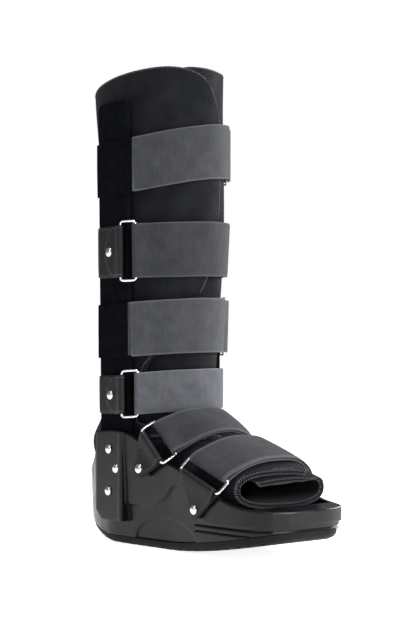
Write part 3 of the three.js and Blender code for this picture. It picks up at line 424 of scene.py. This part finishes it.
def weighNormals(piece):
    # Flats stay flat to the light, and only the rounded edges between them turn.
    flats = piece.modifiers.new("flats", "WEIGHTED_NORMAL")
    flats.weight = meshing["flatWeight"]
    flats.keep_sharp = True


folds = {"wide": 26.0, "deep": 0.45, "wideUp": 0.35, "fine": 9.0, "shallow": 0.16, "fineUp": 0.6, "seed": 5}
noise.seed_set(folds["seed"])


def foldShift(point):
    # One field for straps and liner, so that layers that lie on each other keep their gaps.
    slow = Vector((point.x, point.y, point.z * folds["wideUp"])) / (folds["wide"] * mm)
    quick = Vector((point.x, point.y, point.z * folds["fineUp"])) / (folds["fine"] * mm)
    shift = noise.noise_vector(slow) * folds["deep"] + noise.noise_vector(quick) * folds["shallow"]
    return shift * mm


def crumple(bm):
    for vert in bm.verts:
        vert.co += foldShift(vert.co)


# Shell and tread keep their shape, with softened edges.
ridge = {"edge": 3.4, "steps": 5, "long": 20, "bend": 50, "upright": 0.9, "facing": 0.7}


def ridgeEdges(bm):
    # The front outer corners of the sockets, which run upright.
    found = []
    for edge in sharpEdges(bm, ridge["bend"]):
        course = edge.verts[1].co - edge.verts[0].co
        if course.length < ridge["long"] * mm or abs(course.normalized().z) < ridge["upright"]:
            continue
        front = min(face.normal.y for face in edge.link_faces)
        outer = max(abs(face.normal.x) for face in edge.link_faces)
        if front < -ridge["facing"] and outer > ridge["facing"]:
            found.append(edge)
    return found


mouldings = {"shell": {"edge": 1.3, "angle": 30}, "tread": {"edge": 0.5, "angle": 40}}
for name, row in mouldings.items():
    bm = openCopy(name)
    joinFlats(bm)
    if name == "shell":
        roundEdges(bm, ridgeEdges(bm), ridge["edge"] * mm, ridge["steps"])
    roundEdges(bm, sharpEdges(bm, row["angle"]), row["edge"] * mm)
    piece = finishPiece(bm, f"{name}Moulding", [name], name)
    weighNormals(piece)
print("shell and tread")

# Straps: hook webbing, and on the wearer's right of straps 1 and 3 the bare loop side that it closes on.
webbing = {"cuts": 7, "fullWidth": 0.8, "edge": 0.5, "rounds": 2, "loopSide": -30}
# Each strap's tone scales its colour: painted light and shade, set to how lit or shaded that strap is.
strapRows = {
    1: {"width": 50, "length": 355, "paintedLightShade": 0.82, "loopBehind": -27},
    2: {"width": 50, "length": 336, "paintedLightShade": 0.66},
    3: {"width": 50, "length": 332, "paintedLightShade": 1.0, "loopBehind": -26},
    4: {"width": 38, "length": 308, "paintedLightShade": 1.6},
    5: {"width": 38, "length": 285, "paintedLightShade": 0.62},
    6: {"width": 50, "length": 283, "paintedLightShade": 0.7},
}
footStraps = (5, 6)
soft = {}
for number, row in strapRows.items():
    bm = openCopy(f"strap_{number}")
    joinTriangles(bm, meshing["webBend"])
    if number not in footStraps:
        # A leg strap is cut across its width, so that folds can form in it.
        fullWidth = webbing["fullWidth"] * row["width"] * mm
        across = [e for e in bm.edges if e.calc_length() > fullWidth]
        bmesh.ops.subdivide_edges(bm, edges=across, cuts=webbing["cuts"], use_grid_fill=True)
    rim = bm.verts.layers.float.new("rim")
    # Every vertex gets the strap's painted light and shade factor.
    paintedLightShade = bm.verts.layers.float.new("paintedLightShade")
    for vert in bm.verts:
        vert[paintedLightShade] = row["paintedLightShade"]
    # The sharp edges are marked for the paler edge colour, a painted highlight.
    edges = sharpEdges(bm, meshing["webEdge"])
    for edge in edges:
        for vert in edge.verts:
            vert[rim] = 1.0
    roundEdges(bm, edges, webbing["edge"] * mm, 1)
    crumple(bm)
    if "loopBehind" in row:
        for face in bm.faces:
            middle = face.calc_center_median()
            if middle.x < webbing["loopSide"] * mm and middle.y > row["loopBehind"] * mm:
                face.material_index = 1
    piece = finishPiece(bm, f"webbing{number}", [f"strap_{number}"], "strap", webbing["rounds"])
    piece.data.materials.append(materials["loop"])
    soft[f"strap_{number}"] = piece
print("straps")

# Struts in their loop-faced sleeves
sleeve = {"edge": 1.2, "steps": 3, "bend": 50}
for side in ("right", "left"):
    bm = openCopy(f"upright_{side}")
    joinFlats(bm)
    roundEdges(bm, sharpEdges(bm, sleeve["bend"]), sleeve["edge"] * mm, sleeve["steps"])
    piece = finishPiece(bm, f"sleeve_{side}", [f"upright_{side}"], "loop")
    weighNormals(piece)

# Tabs, each a strip folded over its ring. Cuts are width and length.
tabbing = {"edge": 0.35, "rounds": 1}
tabCuts = {1: (34, 96), 2: (34, 96), 3: (34, 96), 4: (26, 96), 5: (28, 68), 6: (30, 79)}
for number in tabCuts:
    bm = openCopy(f"tab_{number}")
    joinTriangles(bm, meshing["webBend"])
    roundEdges(bm, sharpEdges(bm, meshing["webEdge"]), tabbing["edge"] * mm, 1)
    piece = finishPiece(bm, f"tabLoop{number}", [f"tab_{number}"], "tab", tabbing["rounds"])
    soft[f"tab_{number}"] = piece
print("sleeves and tabs")

# Padded liner
padding = {"edge": 1.3, "rounds": 2, "quadBend": 50, "bend": 55}
for name in ("liner_shaft", "liner_foot"):
    bm = openCopy(name)
    joinTriangles(bm, padding["quadBend"])
    roundEdges(bm, sharpEdges(bm, padding["bend"]), padding["edge"] * mm)
    crumple(bm)
    soft[name] = finishPiece(bm, name.replace("liner_", "padded"), [name], "liner", padding["rounds"])
print("liner")

# Stitching: short beads of thread along an edge, left out where another piece lies on it.
seams = {
    "liner": {"pitch": 2.3, "inset": 1.0, "long": 3.0, "thick": 0.36, "slant": 60, "clear": 0.7},
    "rim": {"pitch": 2.3, "inset": 1.3, "long": 2.4, "thick": 0.36, "slant": 60, "clear": 0.5},
    "tab": {"pitch": 3.0, "inset": 2.4, "long": 2.2, "thick": 0.3, "slant": 0, "clear": 0.6},
}
# An edge is sewn where its outer face points out by at least facing, and a stitch is left out where the
# cloth agrees with that face by less than turned. Both are cosines, and search is in millimetres.
sewing = {"facing": 0.55, "turned": 0.3, "search": 10}
footLine = 70  # the height of the foot's middle, in millimetres


def treeOf(piece):
    # The piece as it shows, after its modifiers, for measuring on.
    shown = piece.evaluated_get(bpy.context.evaluated_depsgraph_get())
    bm = bmesh.new()
    bm.from_mesh(shown.to_mesh())
    tree = BVHTree.FromBMesh(bm)
    bm.free()
    shown.to_mesh_clear()
    return tree


def addBead(bm, place, along, normal, row):
    side = along.cross(normal)
    turned = Matrix((along, side, normal)).transposed().to_4x4()
    turned.translation = place
    size = Matrix.Diagonal((row["long"] / 2 * mm, row["thick"] * mm, row["thick"] * mm, 1.0))
    bmesh.ops.create_icosphere(bm, subdivisions=1, radius=1.0, matrix=turned @ size)


def stitchAlong(bm, nodeName, outward, cloth, others, row):
    source = openCopy(nodeName)
    joinTriangles(source, meshing["webBend"])
    for edge in sharpEdges(source, meshing["webEdge"]):
        first, last = edge.verts[0].co, edge.verts[1].co
        middle = (first + last) / 2
        face = max(edge.link_faces, key=lambda f: f.normal.dot(outward(middle)))
        if face.normal.dot(outward(middle)) < sewing["facing"]:
            continue
        along = (last - first).normalized()
        inward = along.cross(face.normal).normalized()
        if inward.dot(face.calc_center_median() - middle) < 0:
            inward = -inward
        count = max(1, round((last - first).length / (row["pitch"] * mm)))
        for i in range(count):
            place = first.lerp(last, (i + 0.5) / count) + inward * row["inset"] * mm
            spot, normal, _, _ = cloth.find_nearest(place)
            if normal.dot(face.normal) < sewing["turned"]:
                continue
            gaps = [tree.find_nearest(spot, sewing["search"] * mm)[3] for tree in others]
            if min([gap for gap in gaps if gap is not None], default=1.0) < row["clear"] * mm:
                continue
            flat = (along - normal * along.dot(normal)).normalized()
            course = Matrix.Rotation(math.radians(row["slant"]), 3, normal) @ flat
            addBead(bm, spot, course, normal, row)
    source.free()


def fromAxis(point):
    return Vector((point.x, point.y, 0)).normalized()


def fromFootLine(point):
    return Vector((point.x, 0, point.z - footLine * mm)).normalized()


def towardsToes(point):
    return Vector((0, -1, 0))


bpy.context.view_layer.update()
cover = {name: treeOf(piece) for name, piece in soft.items()}
for name in ("shell", "upright_right", "upright_left"):
    bm = openCopy(name)
    cover[name] = BVHTree.FromBMesh(bm)
    bm.free()
bm = bmesh.new()
for name, outward in (("liner_shaft", fromAxis), ("liner_foot", fromFootLine)):
    others = [tree for other, tree in cover.items() if other != name]
    stitchAlong(bm, name, outward, cover[name], others, seams["liner"])
    if name == "liner_foot":
        stitchAlong(bm, name, towardsToes, cover[name], others, seams["rim"])
print("liner stitches", len(bm.faces))
finishPiece(bm, "linerStitching", [], "thread")
bm = bmesh.new()
for number in tabCuts:
    name = f"tab_{number}"
    outward = fromFootLine if number in footStraps else fromAxis
    stitchAlong(bm, name, outward, cover[name], [], seams["tab"])
print("tab stitches", len(bm.faces))
finishPiece(bm, "tabStitching", [], "thread")

# Wire rings and rivets
brightRounds = 2
for name in nodes:
    if name.startswith(("ring", "rivet")):
        bm = openCopy(name)
        if name.startswith("rivet"):
            joinTriangles(bm, meshing["webBend"])
        finishPiece(bm, "bright_" + name, [name], "steel", brightRounds)
print("rings and rivets")
